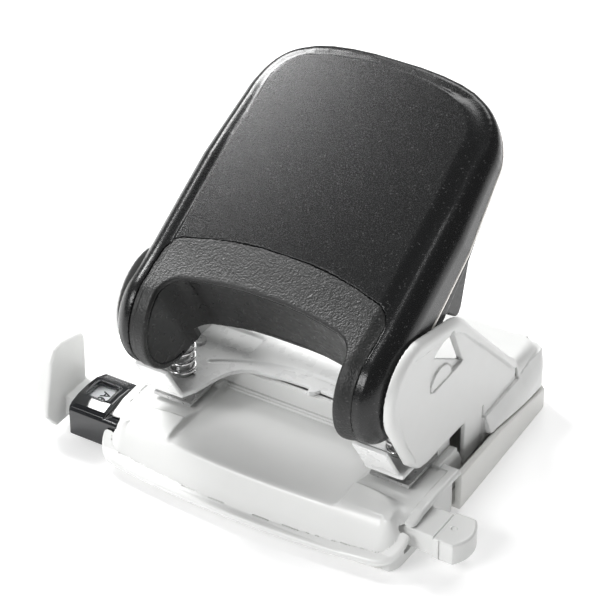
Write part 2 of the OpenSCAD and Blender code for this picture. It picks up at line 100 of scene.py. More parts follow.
PAST_PIVOT = -60  # where the outlines that stay open behind the pivot end
RAIL_Y = -11.0
RAIL_LOW_Y, RAIL_HIGH_Y = RAIL_Y - 6.6, RAIL_Y + 6.6
RAIL_Z0 = 5.8
RAIL_Z1 = 13.1
WINDOW_X = -63.2  # the middle of the window over the format strip
TAB_LOW, TAB_HIGH = box_mm("rail_end_tab")
REAR_Y = box_mm("housing")[1][1]
SCREW_X, SCREW_Y = 44.5, 16.5  # the screws that hold the guide plate
HINGE_R = 3
EAR_IN, EAR_OUT = 40.6, 44.6  # the housing's two hinge ears
FINE = 1.0

# ---- fields ----


def arc(ca, cb, r, start, end, n=12):
    """Points of an arc, from one angle to another, in degrees."""
    turn = [math.radians(start + (end - start) * i / n) for i in range(n + 1)]
    return [(ca + r * math.cos(t), cb + r * math.sin(t)) for t in turn]


def mirrored(right):
    """A closed outline from its right-hand half, drawn from bottom to top."""
    return list(right) + [(-a, b) for a, b in reversed(right)]


def along(v, points):
    """Height at v of the broken line through points."""
    return np.interp(v, [p[0] for p in points], [p[1] for p in points])


def outline(points):
    """Signed distance to a closed outline, below zero inside, as a function of two coordinates."""
    p = np.array(points, float)
    q = np.roll(p, -1, 0)

    def distance(a, b):
        nearest = np.full(np.broadcast(a, b).shape, np.inf)
        inside = np.zeros(nearest.shape, bool)
        for (a0, b0), (a1, b1) in zip(p, q):
            ea, eb = a1 - a0, b1 - b0
            if ea == 0 and eb == 0:
                continue
            t = np.clip(((a - a0) * ea + (b - b0) * eb) / (ea * ea + eb * eb), 0, 1)
            nearest = np.minimum(nearest, (a - a0 - t * ea) ** 2 + (b - b0 - t * eb) ** 2)
            if eb != 0:
                crosses = (b0 <= b) != (b1 <= b)
                inside ^= crosses & (a < a0 + (b - b0) * ea / eb)
        d = np.sqrt(nearest)
        return np.where(inside, -d, d)

    return distance


def meet(a, b, r=0.0):
    """Intersection, its edge rounded to r."""
    if np.isscalar(r) and r <= 0:
        return np.maximum(a, b)
    return np.minimum(np.maximum(a, b), -r) + np.hypot(np.maximum(a + r, 0), np.maximum(b + r, 0))


def join(a, b, r=0.0):
    """Union, its inner corner filled to r."""
    if r <= 0:
        return np.minimum(a, b)
    return np.maximum(np.minimum(a, b), r) - np.hypot(np.maximum(r - a, 0), np.maximum(r - b, 0))


def cut(a, b, r=0.0):
    """a without b, its edge rounded to r."""
    return meet(a, -b, r)


def slab(v, low, high):
    """The layer between low and high."""
    return np.abs(v - (low + high) / 2) - (high - low) / 2


def block(x, y, z, low, high, r=0.0):
    """A box given by its two corners, its edges rounded to r."""
    d = meet(slab(x, low[0], high[0]), slab(y, low[1], high[1]), r)
    return meet(d, slab(z, low[2], high[2]), r)


def ease(t):
    """0 to 1 as t goes from 0 to 1, with a smooth start and end."""
    t = np.clip(t, 0, 1)
    return t * t * (3 - 2 * t)


def crossing_mesh(field, low, high, step):
    """Points and four-sided faces where the field crosses zero."""
    x, y, z = (np.arange(low[i], high[i] + step, step) for i in range(3))
    shape = (len(x), len(y), len(z))
    value = np.broadcast_to(field(x[:, None, None], y[None, :, None], z[None, None, :]), shape)
    tiny = 1e-6  # keeps a crossing off the grid points
    value = np.where(np.abs(value) < tiny, tiny, value)
    inside = value < 0
    count = np.zeros([n - 1 for n in shape], np.int8)
    corners = [(i, j, k) for i in (0, 1) for j in (0, 1) for k in (0, 1)]
    for i, j, k in corners:
        count += inside[i:shape[0] - 1 + i, j:shape[1] - 1 + j, k:shape[2] - 1 + k]
    active = (count > 0) & (count < 8)
    number = np.full(active.shape, -1)
    number[active] = np.arange(active.sum())
    cell = np.argwhere(active)
    at = {c: value[cell[:, 0] + c[0], cell[:, 1] + c[1], cell[:, 2] + c[2]] for c in corners}
    total, hits = np.zeros((len(cell), 3)), np.zeros(len(cell))
    for a in corners:
        for axis in range(3):
            if a[axis]:
                continue
            b = tuple(1 if i == axis else a[i] for i in range(3))
            crosses = (at[a] < 0) != (at[b] < 0)
            t = np.where(crosses, at[a] / np.where(crosses, at[a] - at[b], 1), 0)
            place = np.repeat(np.array(a, float)[None], len(cell), 0)
            place[:, axis] += t
            total += np.where(crosses[:, None], place, 0)
            hits += crosses
    points = np.array([x[0], y[0], z[0]]) + step * (cell + total / hits[:, None])
    faces = []
    for axis in range(3):
        u, v = (axis + 1) % 3, (axis + 2) % 3
        near = [slice(None)] * 3
        far = [slice(None)] * 3
        near[axis], far[axis] = slice(0, -1), slice(1, None)
        changed = inside[tuple(near)] != inside[tuple(far)]
        edge = np.argwhere(changed)
        inner = np.ones(len(edge), bool)
        for w in (u, v):
            inner &= (edge[:, w] > 0) & (edge[:, w] < shape[w] - 1)
        edge = edge[inner]
        ring = []
        for du, dv in ((0, 0), (1, 0), (1, 1), (0, 1)):
            c = edge.copy()
            c[:, u] -= du
            c[:, v] -= dv
            ring.append(number[c[:, 0], c[:, 1], c[:, 2]])
        ring = np.stack(ring, 1)
        outward = inside[edge[:, 0], edge[:, 1], edge[:, 2]]
        faces.append(np.where(outward[:, None], ring, ring[:, ::-1]))
    return points, np.concatenate(faces)


def slope(field, p, gap):
    """The field's gradient at points p."""
    g = np.empty_like(p)
    for i in range(3):
        ahead, behind = p.copy(), p.copy()
        ahead[:, i] += gap
        behind[:, i] -= gap
        g[:, i] = (field(*ahead.T) - field(*behind.T)) / (2 * gap)
    return g


HANDLE_FRAME = Matrix.Translation((0, PIVOT_Y, PIVOT_Z)) @ Matrix.Rotation(TILT, 4, "X")
PAD_STEPS = 2.5  # room around a part, in mesh steps
SETTLE_ROUNDS = 3  # how often the points are moved on to the surface
SETTLE_GAP = 0.02
NORMAL_GAP = 0.12
LEAST_SLOPE = 0.25


def moulded(name, field, low, high, step, place=Matrix.Identity(4)):
    """A smooth solid from a field in millimetres, moved by place."""
    step = step * FINE
    pad = PAD_STEPS * step
    low, high = np.array(low, float) - pad, np.array(high, float) + pad
    points, faces = crossing_mesh(field, low, high, step)
    for _ in range(SETTLE_ROUNDS):
        g = slope(field, points, SETTLE_GAP)
        size = np.maximum((g ** 2).sum(1), LEAST_SLOPE)
        move = field(*points.T)[:, None] * g / size[:, None]
        points = points - np.clip(move, -0.5 * step, 0.5 * step)
    normal = slope(field, points, NORMAL_GAP)
    normal /= np.maximum(np.linalg.norm(normal, axis=1), 1e-9)[:, None]
    m = np.array(place)
    points = points @ m[:3, :3].T + m[:3, 3]
    normal = normal @ m[:3, :3].T
    mesh = bpy.data.meshes.new(name)
    mesh.from_pydata((points * MM).tolist(), [], faces.tolist())
    mesh.update()
    mesh.polygons.foreach_set("use_smooth", np.ones(len(mesh.polygons), bool))
    mesh.normals_split_custom_set_from_vertices(normal.tolist())
    piece = bpy.data.objects.new(name, mesh)
    bpy.context.scene.collection.objects.link(piece)
    return piece


# ---- the handle, in its own frame: x across, u along it, w away from it, origin on the pivot ----

# the line where the upper and lower shell meet, as points of u and w
PART_LINE = [(20, 2), (52, 4.2), (78, 7), (86, 9.4), (110, 10)]
HANDLE_PLAN = outline(mirrored(
    [(HALF_W, PAST_PIVOT), (HALF_W, 48)]
    + arc(HALF_W - 25, REACH - 25.4, 23, 0, 62, 10)
    + [(28.2, REACH - 3.1), (23, REACH - 1.65), (16, REACH - 0.6), (8, REACH - 0.1)]))
PANEL_PLAN = outline(mirrored(
    [(37.2, PAST_PIVOT), (37, 56), (36.2, 70)] + arc(21.8, 76.3, 14.4, 2, 64, 10)
    + [(20.7, 91.2), (11, 92.6), (3, 93.1)]))
BOW = 120.0  # radius of the bowed ends


def bowed_end(half, top, corner):
    """Half of a wide tongue with straight sides, rounded corners and a bowed end."""
    centre = top - BOW
    t = math.asin((half - corner) / (BOW - corner))
    cx, cy = (BOW - corner) * math.sin(t), centre + (BOW - corner) * math.cos(t)
    turn = 90 - math.degrees(t)
    end = [(BOW * math.sin(t * k), centre + BOW * math.cos(t * k)) for k in (0.75, 0.5, 0.25)]
    return [(half, PAST_PIVOT)] + arc(cx, cy, corner, 0, turn, 8) + end


BAND_PLAN = outline(mirrored(bowed_end(39.4, 22.7, 7.5)))
ARCH_PLAN = outline(mirrored(bowed_end(LEG_IN, 7.9, 8.5)))
UPPER_ZONE = outline(
    [(-40, -40), (-13.7, -37.6), (-2, -6), (5, -6), (14, -1.5)] + PART_LINE + [(110, 40), (-40, 40)])


def relief(x, u):
    """How far the top lies below its highest level: a raised panel with a soft shoulder outside it."""
    s = PANEL_PLAN(x, u)
    soft = ease((x - 14) / 16) * ease((100 - u) / 16)
    start, width = -2.5 * soft, 0.7 + 4.3 * soft
    fall = 0.95 * ease((s - start) / width)
    rise = 0.7 * ease((s - 1.3 - 1.4 * soft) / (3.4 - 0.6 * soft))
    crown = 0.75 * (np.minimum(np.abs(x), 38) / 37.0) ** 2 + 0.5 * ((u - 48) / 48.0) ** 2
    return fall - rise + crown * ease((u + 5) / 20)


def handle_body(x, u, w, drop=0.0):
    """The handle as a solid, its top lowered by drop."""
    edge = 8.0 - 3.0 * ease((u - 78) / 14)
    top = np.hypot(np.minimum(u, 0), w) - DRUM + relief(x, u) + drop
    return meet(top, HANDLE_PLAN(x, u), edge)


def handle_shell(x, u, w, drop=0.0):
    """The hollow upper part of the handle, with its legs."""
    body = handle_body(x, u, w, drop)
    return meet(cut(body, body + WALL), UPPER_ZONE(u, w), 0.35)


def pivot_hole(x, u, w):
    """The holes for the pivot pins, in the legs' outer walls only."""
    return meet(np.hypot(u, w) - 3.3, 40 - np.abs(x))


def top_shell_field(x, u, w):
    """The upper shell, without the place of the grip band and the arch between the legs."""
    d = cut(handle_shell(x, u, w), BAND_PLAN(x, u) - 0.02, 0.2)
    d = cut(d, ARCH_PLAN(x, u), 0.3)
    return cut(d, pivot_hole(x, u, w), 0.2)


def band_field(x, u, w):
    """The grip band, a little lower than the shell around it."""
    d = meet(handle_shell(x, u, w, 0.3), BAND_PLAN(x, u) + 0.03, 0.15)
    return cut(d, ARCH_PLAN(x, u), 0.9)


def trim_field(x, u, w):
    """The bright strip along the part line."""
    below = w - along(u, PART_LINE)
    strip = meet(HANDLE_PLAN(x, u) - 0.1, slab(below, -1.62, -0.02), 0.72)
    strip = cut(strip, HANDLE_PLAN(x, u) + 2.1)
    return meet(strip, 20.8 - u, 0.2)


LOWER_PROFILE = outline(
    [(7.9, -10.7)] + [(a, b - 1.66) for a, b in PART_LINE]
    + [(110, 5.4), (86, 5.2), (78, 3.6), (52, 0.4), (22, -5.8), (7.9, -12.3)])
SKIN_R = DRUM - WALL - 0.1
WALL_ZONE = outline(arc(0, 0, SKIN_R, 90, 254, 24) + [(0, -12.3), (30, -12.3), (30, SKIN_R)])
DISC_ZONE = outline([(0, 0)] + arc(0, 0, DRUM - 0.35, 251, 299, 8) + [(9, 0)])
SIDE_TAB = outline([(22, 0), (30, -3.8), (33.6, -12.2), (34.6, -13.6), (36.4, -14), (38.3, -12.8),
                    (51.4, 0.2), (52, 2.4)])
ARCH_WALL = 1.6


def lower_shell_field(x, u, w):
    """The lower shell: a flat underside, a wall along the arch, and a disc and a tab on each leg."""
    side = HANDLE_PLAN(x, u) + 0.45
    under = meet(LOWER_PROFILE(u, w), side, 1.2)
    reach = np.minimum(meet(np.abs(x) - 34.4, u - 41), 24 - u)
    under = meet(under, reach, 0.6)
    arch = ARCH_PLAN(x, u)
    along_arch = cut(arch - ARCH_WALL, arch)
    wall = meet(along_arch, WALL_ZONE(u, w), 0.4)
    disc = meet(meet(along_arch, DISC_ZONE(u, w), 0.3), 32 - np.abs(x))
    tab = meet(SIDE_TAB(u, w), slab(np.abs(x), 43.2, 44.9), 0.4)
    return join(join(np.minimum(wall, disc), under, 0.8), tab, 0.3)


# ---- the white base ----

TABLE_W = 55.5
TABLE_FRONT = 33.5
TABLE_CORNER = 9.4
CORNER_X, CORNER_Y = TABLE_W - TABLE_CORNER, -21.1
CREASE = 3.3  # how far the foot of the slope lies inside the table's edge


def table_plan_points():
    """The table's outline: a slightly bowed front and two round corners."""
    bow = 350.0
    reach = math.asin((CORNER_X + TABLE_CORNER * math.cos(math.radians(80))) / bow)
    front = [(bow * math.sin(reach * t), -TABLE_FRONT + bow - bow * math.cos(reach * t))
             for t in (0, 0.2, 0.4, 0.6, 0.8)]
    corner = arc(CORNER_X, CORNER_Y, TABLE_CORNER, -80, 0, 12)
    return mirrored(front + corner + [(TABLE_W, 11.8)])


TABLE_PLAN = outline(table_plan_points())
RIM_LOW_Y = [-60, -31, -27, -23, -18, -12, -4, 20]
RIM_LOW_Z = [3.6, 3.6, 5, 8.2, 12, 13.9, 14.3, 14.3]
PLATEAU_Y = [-40, -24.6, -21, -16, -9, 11.9, 12, 20]
PLATEAU_Z = [14.6, 16.2, 17.1, 17.8, DIE_TOP, DIE_TOP, SEAT_Z, SEAT_Z]


def rim_low(y):
    """Height of the rim's lower edge."""
    return np.interp(y, RIM_LOW_Y, RIM_LOW_Z)


def join_height(a, b, r):
    """The higher of two heights, blended over r."""
    h = np.clip(0.5 + 0.5 * (a - b) / r, 0, 1)
    return b + (a - b) * h + r * h * (1 - h)


def table_top(x, y):
    """Height of the table's upper skin: a plateau, a slope down to the crease, and a flange outside it."""
    o = TABLE_PLAN(x, y)
    ax = np.abs(x)
    round_corner = np.arctan2(np.maximum(ax - CORNER_X, 0), np.maximum(CORNER_Y - y, 1e-3))
    side = ease(round_corner / (math.pi / 2))
    side = np.where(ax < CORNER_X, 0, side)
    side = np.where(y > CORNER_Y, 1, side)
    flange = rim_low(y) + 2.6
    plateau = np.interp(y, PLATEAU_Y, PLATEAU_Z)
    width = 5.4 - 2.6 * side
    t = (-CREASE - o) / width
    foot = flange - 0.4
    slope_z = foot + (16.4 - foot) * t
    inner = -join_height(-plateau, -slope_z, 0.9)
    return join_height(flange - 40 * np.maximum(-o - CREASE, 0), inner, 0.5)


DISH_HALF = 31.3
DISH_FRONT = -24.7
SIDE_END = outline([(8, 10), (11.8, SEAT_Z), (17.5, 17.2), (21, 15.2), (22.8, 11.5), (22.8, 2.6),
                    (14.6, 2.6), (14.6, 5.6), (8, 5.6)])


def dish_floor(y):
    """Height of the hollow's floor in the middle of the table."""
    r, low, mid = 148.0, 14.95, -5.0
    bowl = low + r - np.sqrt(r * r - np.clip(y - mid, -22, 0) ** 2)
    return bowl + 0.55 * ease((y - 4) / 7)


def dish_cut(x, y, z, floor, back, r):
    """One step of the hollow: everything above floor, as far as back."""
    return meet(meet(floor - z, slab(y, DISH_FRONT, back)), np.abs(x) - DISH_HALF, r)


def apron_field(x, y, z):
    """The paper table with its skirt, the hollow in the middle and the openings for the guide."""
    ax = np.abs(x)
    o = TABLE_PLAN(x, y)
    top = table_top(x, y)
    steep = 1.0 + 0.9 * ease((-o - 2.6) / 1.2) * ease((o + 8.5) / 2)
    skin = (z - top) / steep
    low = rim_low(y)
    flange = meet(meet(skin, low - z, 1.0), o, 1.25)
    wall = meet(meet(skin, 0.6 - z, 0.4), o + 1.9, 0.6)
    wall = meet(wall, -y - 26.2, 0.5)
    lip = meet(meet(skin, low + 0.2 - z, 0.4), o + 2.4, 0.4)
    body = np.minimum(np.minimum(flange, wall), lip)
    hollow = meet(meet(np.maximum(skin + 2.1, z - 14), o + 4.0, 0.4), ax - 51.4, 0.4)
    body = cut(body, hollow, 0.3)
    shelf = block(x, y, z, (-49.6, 8, 16), (49.6, 19.6, SEAT_Z), 0.3)
    ends = meet(SIDE_END(y, z), slab(ax, 47.3, 49.6), 0.4)
    rib = block(x, y, z, (-50, -2.6, 5.6), (50, -1.6, 14.4), 0.2)
    body = np.minimum(np.minimum(body, shelf), np.minimum(ends, rib))
    body = cut(body, dish_cut(x, y, z, dish_floor(y), 11.0, 2.0), 0.5)
    body = cut(body, dish_cut(x, y, z, 16.45, 11.5, 1.5), 0.25)
    body = cut(body, dish_cut(x, y, z, 17.2, 12.4, 1.0), 0.25)
    body = cut(body, block(x, y, z, (-47.3, 7, -1), (47.3, 12.5, 14)), 0.2)
    body = cut(body, block(x, y, z, (-51.4, 7, -1), (51.4, 12.5, 5.6)), 0.2)
    body = cut(body, block(x, y, z, (40, -20.2, 4.4), (70, -2.6, 13.9), 0.8), 0.3)
    body = cut(body, block(x, y, z, (-70, -22.4, 2.2), (-48, 0.4, 13.7), 0.8), 0.3)
    die_pockets = meet(meet(slab(ax, PIN_X - 6.95, PIN_X + 6.95), slab(y, -6.55, 12)), SEAT_Z - z)
    body = cut(body, die_pockets)
    holes = np.hypot(ax - PIN_X, y) - 3.55
    screws = np.hypot(ax - SCREW_X, y - SCREW_Y) - 1.2
    return cut(cut(body, holes, 0.2), screws)


# ---- guide plate ----

ARCH_EDGE = [(33.2, -10.2), (31, -6), (29.6, 0), (28.4, 4.4), (26.8, 8), (24.2, 10.8), (20.4, 12.4),
             (10, 14), (3, 14.4)]
POINTER = [(2.8, 14.4), (1.9, 12.6), (0.5, 11.3), (-0.5, 11.5), (-0.9, 12.9), (-1.2, 14.4)]
PLATE_PLAN = outline(
    [(CHEEK_IN, 34.2), (CHEEK_IN, -10.6)] + ARCH_EDGE + POINTER
    + [(-a, b) for a, b in reversed(ARCH_EDGE)] + [(-CHEEK_IN, -10.6), (-CHEEK_IN, 34.2)])
LIP_TOP = np.array([-17.7, 39.0])  # the lips' upper edge, in y and z
LIP_COS, LIP_SIN = 0.5136, 0.858
LIP_LENGTH = 16.8


def lip_outline():
    """The lips from the side: two sheets that rise forward from the front of the plate."""
    back = PLATE_T * np.array([LIP_SIN, LIP_COS])
    foot = LIP_TOP + LIP_LENGTH * np.array([LIP_COS, -LIP_SIN])
    return outline([tuple(LIP_TOP), tuple(foot), tuple(foot - 0.9 * back), tuple(LIP_TOP - back)])


LIP = lip_outline()
GROOVE_Y = -43.4  # the centre of the pressed groove
GROOVE_R = 63.5


def groove(x, y):
    """Distance to the pressed groove that follows the arch, as a rounded stroke."""
    reach = math.atan2(35.0, 52.0)
    t = np.clip(np.arctan2(x, y - GROOVE_Y), -reach, reach)
    return np.hypot(x - GROOVE_R * np.sin(t), y - GROOVE_Y - GROOVE_R * np.cos(t))


def guide_plate_field(x, y, z):
    """The plate over the slot, with pressed panels, a groove, a pointer and two lips."""
    ax = np.abs(x)
    panel = meet(slab(ax, 26.4, 60), slab(y, 19.3, 29.9), 2.2)
    press = 0.75 * ease((0.4 - panel) / 1.5) + 0.6 * ease((1.25 - groove(x, y)) / 0.9)
    thick = np.maximum((z - PLATE_TOP) + press, (SLOT_TOP - z) - 0.2 * press)
    d = meet(thick, PLATE_PLAN(x, y), 0.45)
    lip = meet(LIP(y, z), slab(ax, 33.5, 45.5), 0.5)
    d = join(d, lip, 0.9)
    d = cut(d, np.hypot(ax - PIN_X, y) - 3.4, 0.2)
    return cut(d, np.hypot(ax - SCREW_X, y - SCREW_Y) - 1.6, 0.1)


# ---- housing ----

BODY_FRONT = 24.4
CHEEK = outline(
    arc(-8, 57.2, 16.3, 205, 86, 16) + arc(8, 48, 22, 80, 44, 6)
    + [(55.3, 30.8), (60, 26.6), (60, 10), (BODY_FRONT, 8), (BODY_FRONT, 23.4), (1, 23.4), (-3.6, 24.2),
       (-5, 25), (-11.1, 30.4)])
FACE = outline(
    arc(-8, 57.2, 11.8, 212, 100, 14) + arc(8.6, 46.6, 18.6, 86, 42, 6)
    + [(54.6, 27), (58.6, 24), (58.6, 20.4), (36, 19.2), (36, 0), (20, 0), (-4.5, 0), (-4.5, 22),
       (-8.2, 31.4), (-14.2, 41)])
CHEEK_HOLE = outline([(12.6, 65.8), (13.8, 65.6), (20.9, 50.6), (20.2, 49.9), (3.4, 49.2), (0.9, 50.2),
                      (0.3, 54), (1.5, 61.4), (3.4, 63)])
REAR_CORNER, LEDGE_CORNER = 7, 7.4
REAR_PLAN = outline(mirrored(
    [(CHEEK_OUT, 20), (CHEEK_OUT, REAR_Y - REAR_CORNER)]
    + arc(CHEEK_OUT - REAR_CORNER, REAR_Y - REAR_CORNER, REAR_CORNER, 0, 90, 8)[1:]))
LEDGE_PLAN = outline(mirrored(
    [(53.7, 20), (53.7, 36.2), (52.4, REAR_Y - 7.6)]
    + arc(45.0, REAR_Y - LEDGE_CORNER, LEDGE_CORNER, 0, 90, 8)))
ROOF_Z = PLATE_TOP + 0.6


def slit(ax, y, z, front, low, high):
    """A short upright slit in the side of the housing."""
    return meet(meet(slab(y, front, front + 0.9), slab(z, low, high), 0.3), 48.6 - ax)


def hinge_knuckle(y, z, back, low, high):
    """A round eye on the hinge line, and the web that carries it, from low to high."""
    web = meet(slab(y, HINGE_Y - HINGE_R, HINGE_Y + back), slab(z, low, high))
    return np.minimum(np.hypot(y - HINGE_Y, z - HINGE_Z) - HINGE_R, web)


def housing_field(x, y, z):
    """The rear housing: two cheeks beside the handle, a hollow body behind it and a ledge around the body."""
    ax = np.abs(x)
    cheek = meet(CHEEK(y, z), ax - CHEEK_OUT, 2.8)
    cheek = meet(cheek, CHEEK_IN - ax, 0.3)
    roof = ROOF_Z - 1.2 * ease((y - 66) / 12)
    outer = meet(z - roof, REAR_PLAN(x, y), 4.2)
    rear = meet(outer, np.interp(y, [24, 60, 80], [8, 10, 9.6]) - z, 0.4)
    rear = meet(rear, BODY_FRONT - y, 0.4)
    d = join(cheek, rear, 0.9)
    ledge_top = np.where(y < 36.3, 14.2, np.interp(y, [36, 60, 66, 80], [19.4, 20.9, 22.2, 22.6]))
    bottom = np.interp(y, [24, 40, 70, 80], [13.6, 12.95, 9.5, 9.6])
    flare = np.maximum(z - ledge_top, (ax - 50.3 - 0.4 * (ledge_top - z)) / 1.08)
    ledge = meet(flare, LEDGE_PLAN(x, y), 1.2)
    ledge = meet(meet(ledge, bottom - z, 0.3), np.maximum(BODY_FRONT - y, 46 - ax), 0.3)
    d = join(d, ledge, 0.7)
    d = cut(d, meet(FACE(y, z), CHEEK_OUT - 0.5 - ax), 0.45)
    d = cut(d, slit(ax, y, z, 35.6, 19.0, 23.6), 0.1)
    d = cut(d, slit(ax, y, z, 57.8, 21.4, 26.2), 0.1)
    shade = z - 62.2 + 0.62 * (y - 2)
    through = meet(CHEEK_HOLE(y, z), -shade)
    pocket = meet(CHEEK_HOLE(y, z), 48.3 - ax)
    d = cut(cut(d, through, 0.3), pocket, 0.3)
    boss = meet(meet(np.hypot(y - 8.4, z - 48.4) - 6.9, ax - 49.0, 0.35), 47.6 - ax)
    boss = meet(meet(boss, shade + 0.4), CHEEK_HOLE(y, z) - 0.2)
    d = np.minimum(d, boss)
    hollow = np.maximum(outer + 2.0, 20 - y)
    ears = meet(slab(ax, EAR_IN, EAR_OUT), slab(y, HINGE_Y - HINGE_R, HINGE_Y + HINGE_R))
    hollow = cut(hollow, ears)
    d = cut(d, hollow, 0.2)
    knuckle = hinge_knuckle(y, z, 1.2, HINGE_Z, ROOF_Z - 1)
    d = np.minimum(d, meet(knuckle, slab(ax, EAR_IN, EAR_OUT), 0.3))
    back = block(x, y, z, (-42.8, REAR_Y - 1.2, 5.5), (42.8, REAR_Y, 12), 0.2)
    d = np.minimum(d, back)
    space = meet(slab(y, -60, 34.2), ax - CHEEK_IN)
    d = cut(d, space, 0.25)
    d = cut(d, meet(np.hypot(y - HINGE_Y, z - HINGE_Z) - 1.55, ax - 45))
    room = meet(meet(slab(y, 70, 77.6), slab(ax, 45, 50.8)), z - 9.8)
    return cut(d, room, 0.2)


# ---- tray ----

BAND_TOP = [(0, 13.8), (14.5, 13.6), (40, 12.6), (73.6, 8.4), (76, 6.2), (80, 6.2)]
FLOOR_T = 2


def tray_plan_points(inset=0.0):
    """The outline of the tray's rear part, moved in by inset."""
    front, back, r, last = 55.2 - inset, 52.9 - inset, 7 - inset, 79 - inset
    return mirrored([(front, 12.2), (back, last - r)] + arc(back - r, last - r, r, 0, 90, 8)[1:])


TRAY_OUT = outline(tray_plan_points())
TRAY_IN = outline([(a, b - 12) if b < 13 else (a, b) for a, b in tray_plan_points(1.9)])


def tray_field(x, y, z):
    """The tray under the base: a floor, a band around its rear part and two hinge knuckles."""
    ax = np.abs(x)
    top = along(y, BAND_TOP)
    ring = meet(meet(z - top, -z, 0.5), TRAY_OUT(x, y), 0.7)
    ring = cut(ring, meet(TRAY_IN(x, y), FLOOR_T - z), 0.4)
    ring = cut(ring, block(x, y, z, (-48.9, 10, FLOOR_T), (48.9, 16, 20)))
    middle = block(x, y, z, (-50.5, -20, 0), (50.5, 14, FLOOR_T), 0.3)
    front = meet(meet(TABLE_PLAN(x, y) + 4.5, slab(z, 0, FLOOR_T), 0.3), slab(y, -27, 0), 0.3)
    floor = np.minimum(middle, front)
    lip = block(x, y, z, (-49.4, -5.2, 0), (49.4, 14, 4.8), 0.3)
    lip = cut(lip, block(x, y, z, (-47.8, -3.6, FLOOR_T), (47.8, 20, 9)), 0.2)
    knuckle = hinge_knuckle(y, z, 2.3, 0, HINGE_Z)
    knuckle = meet(meet(knuckle, slab(ax, 45, 49.4), 0.3), slab(y, 71.5, 77.3))
    d = np.minimum(np.minimum(ring, floor), np.minimum(lip, knuckle))
    d = cut(d, block(x, y, z, (-45, 76.4, FLOOR_T), (45, 90, 30)), 0.3)
    d = cut(d, meet(np.hypot(y - HINGE_Y, z - HINGE_Z) - 1.5, ax - 49))
    pads = meet(np.hypot(np.maximum(np.abs(ax - 38) - 7, 0), np.abs(y - 22) - 40) - 4, z - 1.2)
    return cut(d, pads, 0.1)


# ---- paper guide ----

FENCE = outline([(-27.6, 14), (-27.9, 10.5), (-24.6, 6.4), (-22.6, 4.2), (-6.4, 4.2), (-5.4, 8), (-5.2, 29.6),
                 (-6.4, 31.4), (-9, 32.6), (-17.6, 34.6), (-19.8, 34.3), (-21.5, 33.6), (-24, 30)])
NOTCHES = (0, 31, 66, 74.5, 91)  # from the first one
FIRST_NOTCH = -35


def rail_field(x, y, z):
    """The sliding bar with its detent notches, and the fence on its left end."""
    bar = block(x, y, z, (-75, RAIL_LOW_Y, RAIL_Z0), (62, RAIL_HIGH_Y, RAIL_Z1), 0.5)
    fence = meet(FENCE(y, z), slab(x, -79.6, -74), 1.1)
    d = join(bar, fence, 0.5)
    strip_bed = block(x, y, z, (-71, RAIL_Y - 4.4, RAIL_Z1 - 0.4), (40, RAIL_Y + 4.4, RAIL_Z1 + 1), 0.2)
    d = cut(d, strip_bed, 0.1)
    for at in NOTCHES:
        d = cut(d, np.hypot(x - FIRST_NOTCH - at, y - RAIL_HIGH_Y - 0.5) - 1.2, 0.1)
    return d


TAB_PLAN = outline(
    [(62, -18.6), (67, -18.6)] + arc(60.6, RAIL_Y, 11.4, -41.8, 41.8, 12) + [(67, -3.4), (62, -3.4)])


def tab_field(x, y, z):
    """The rounded tab on the bar's right end."""
    d = meet(TAB_PLAN(x, y), slab(z, TAB_LOW[2], TAB_HIGH[2]), 0.9)
    nicks = meet(slab(x, 64.2, 64.7), 7.2 - np.abs(y - RAIL_Y))
    mark = np.hypot(x - 65.5, y - RAIL_Y) - 0.9
    d = cut(d, nicks, 0.1)
    return cut(d, meet(mark, TAB_HIGH[2] - 0.3 - z), 0.15)


CROWN_EDGE = [(-22, 12.2), (-21.4, 13.6), (-20, 14.6), (-16, 15.6), (-11, 15.9), (-6, 15.6), (-1.4, 14),
              (-0.3, 13.2), (0, 12.4)]
CROWN = outline([(-22, 3)] + CROWN_EDGE + [(0, 3)])


def window_block_field(x, y, z):
    """The dark block that the bar slides through, with a window, its rim and two ribs."""
    above = z - along(y, CROWN_EDGE)
    outer = meet(CROWN(y, z), slab(x, -70, -56.2), 0.9)
    inner = meet(meet(CROWN(y, z), z - 13.3, 0.2), slab(x, -60, -50), 0.3)
    d = np.minimum(outer, inner)
    bore = meet(slab(y, RAIL_LOW_Y - 0.3, RAIL_HIGH_Y + 0.3), slab(z, RAIL_Z0 - 0.3, RAIL_Z1 + 0.3))
    d = cut(d, bore, 0.2)
    window = meet(slab(x, -67.6, -58.9), slab(y, RAIL_Y - 4.9, RAIL_Y + 3.9), 1.3)
    rim = meet(np.abs(window) - 0.45, 10 - z)
    rim = meet(rim, above - 0.22, 0.25)
    d = np.minimum(d, meet(rim, 13.8 - z))
    d = cut(d, meet(window + 0.3, 10 - z), 0.3)
    for at in (-4.0, -2.7):
        past_end = np.maximum(np.abs(x - WINDOW_X) - 4.0, 0)
        rib = np.hypot(past_end, np.hypot(y - at, above)) - 0.42
        d = np.minimum(d, rib)
    return d


# ---- materials ----


def new_material(name):
    """A material with its node tree and its shader."""
    material = bpy.data.materials.new(name)
    material.use_nodes = True
    tree = material.node_tree
    shader = tree.nodes["Principled BSDF"]
    return material, tree, shader


def node(tree, kind, **inputs):
    """A new node with some of its inputs set."""
    made = tree.nodes.new(kind)
    for key, value in inputs.items():
        made.inputs[key.replace("_", " ")].default_value = value
    return made


def link(tree, a, out, b, into):
    tree.links.new(a.outputs[out], b.inputs[into])


def noise(tree, coords, scale, detail=2.0):
    n = node(tree, "ShaderNodeTexNoise", Scale=scale, Detail=detail, Roughness=0.5)
    link(tree, coords, "Object", n, "Vector")
    return n


